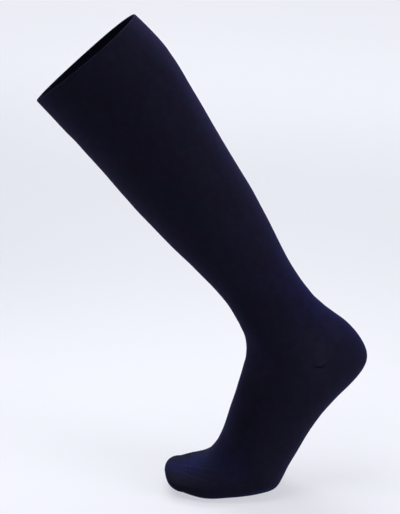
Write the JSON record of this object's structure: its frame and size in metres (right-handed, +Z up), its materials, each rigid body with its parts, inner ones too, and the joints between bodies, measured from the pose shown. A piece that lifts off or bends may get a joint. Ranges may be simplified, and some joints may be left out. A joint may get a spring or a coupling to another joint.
{
  "type": "compression stocking",
  "caption": "Below-knee compression stocking worn hollow with a turned top band, a long fitted leg, a heel pocket, a foot and a closed toe pocket, its heel raised and its forefoot flat.",
  "frame": {"origin": "centre of the open top, where the leg comes out of the stocking", "axes": "+Z up with the forefoot flat on the ground, -X towards the toes, +X towards the heel, Y across; the stocking is symmetric about Y = 0"},
  "size_m": [0.3046, 0.1072, 0.4583],
  "materials": {
    "leg_knit": "fine smooth knit of nylon-covered elastic yarn, dark navy with a soft blue sheen",
    "band_knit": "the same navy knit turned double at the top, slightly thicker",
    "pocket_knit": "the same navy knit reinforced at the heel and toe, a little denser and warmer"
  },
  "bodies": {
    "root": {"top_band": "band_knit", "leg": "leg_knit", "heel": "pocket_knit", "foot": "leg_knit", "toe": "pocket_knit"}
  },
  "joints": []
}
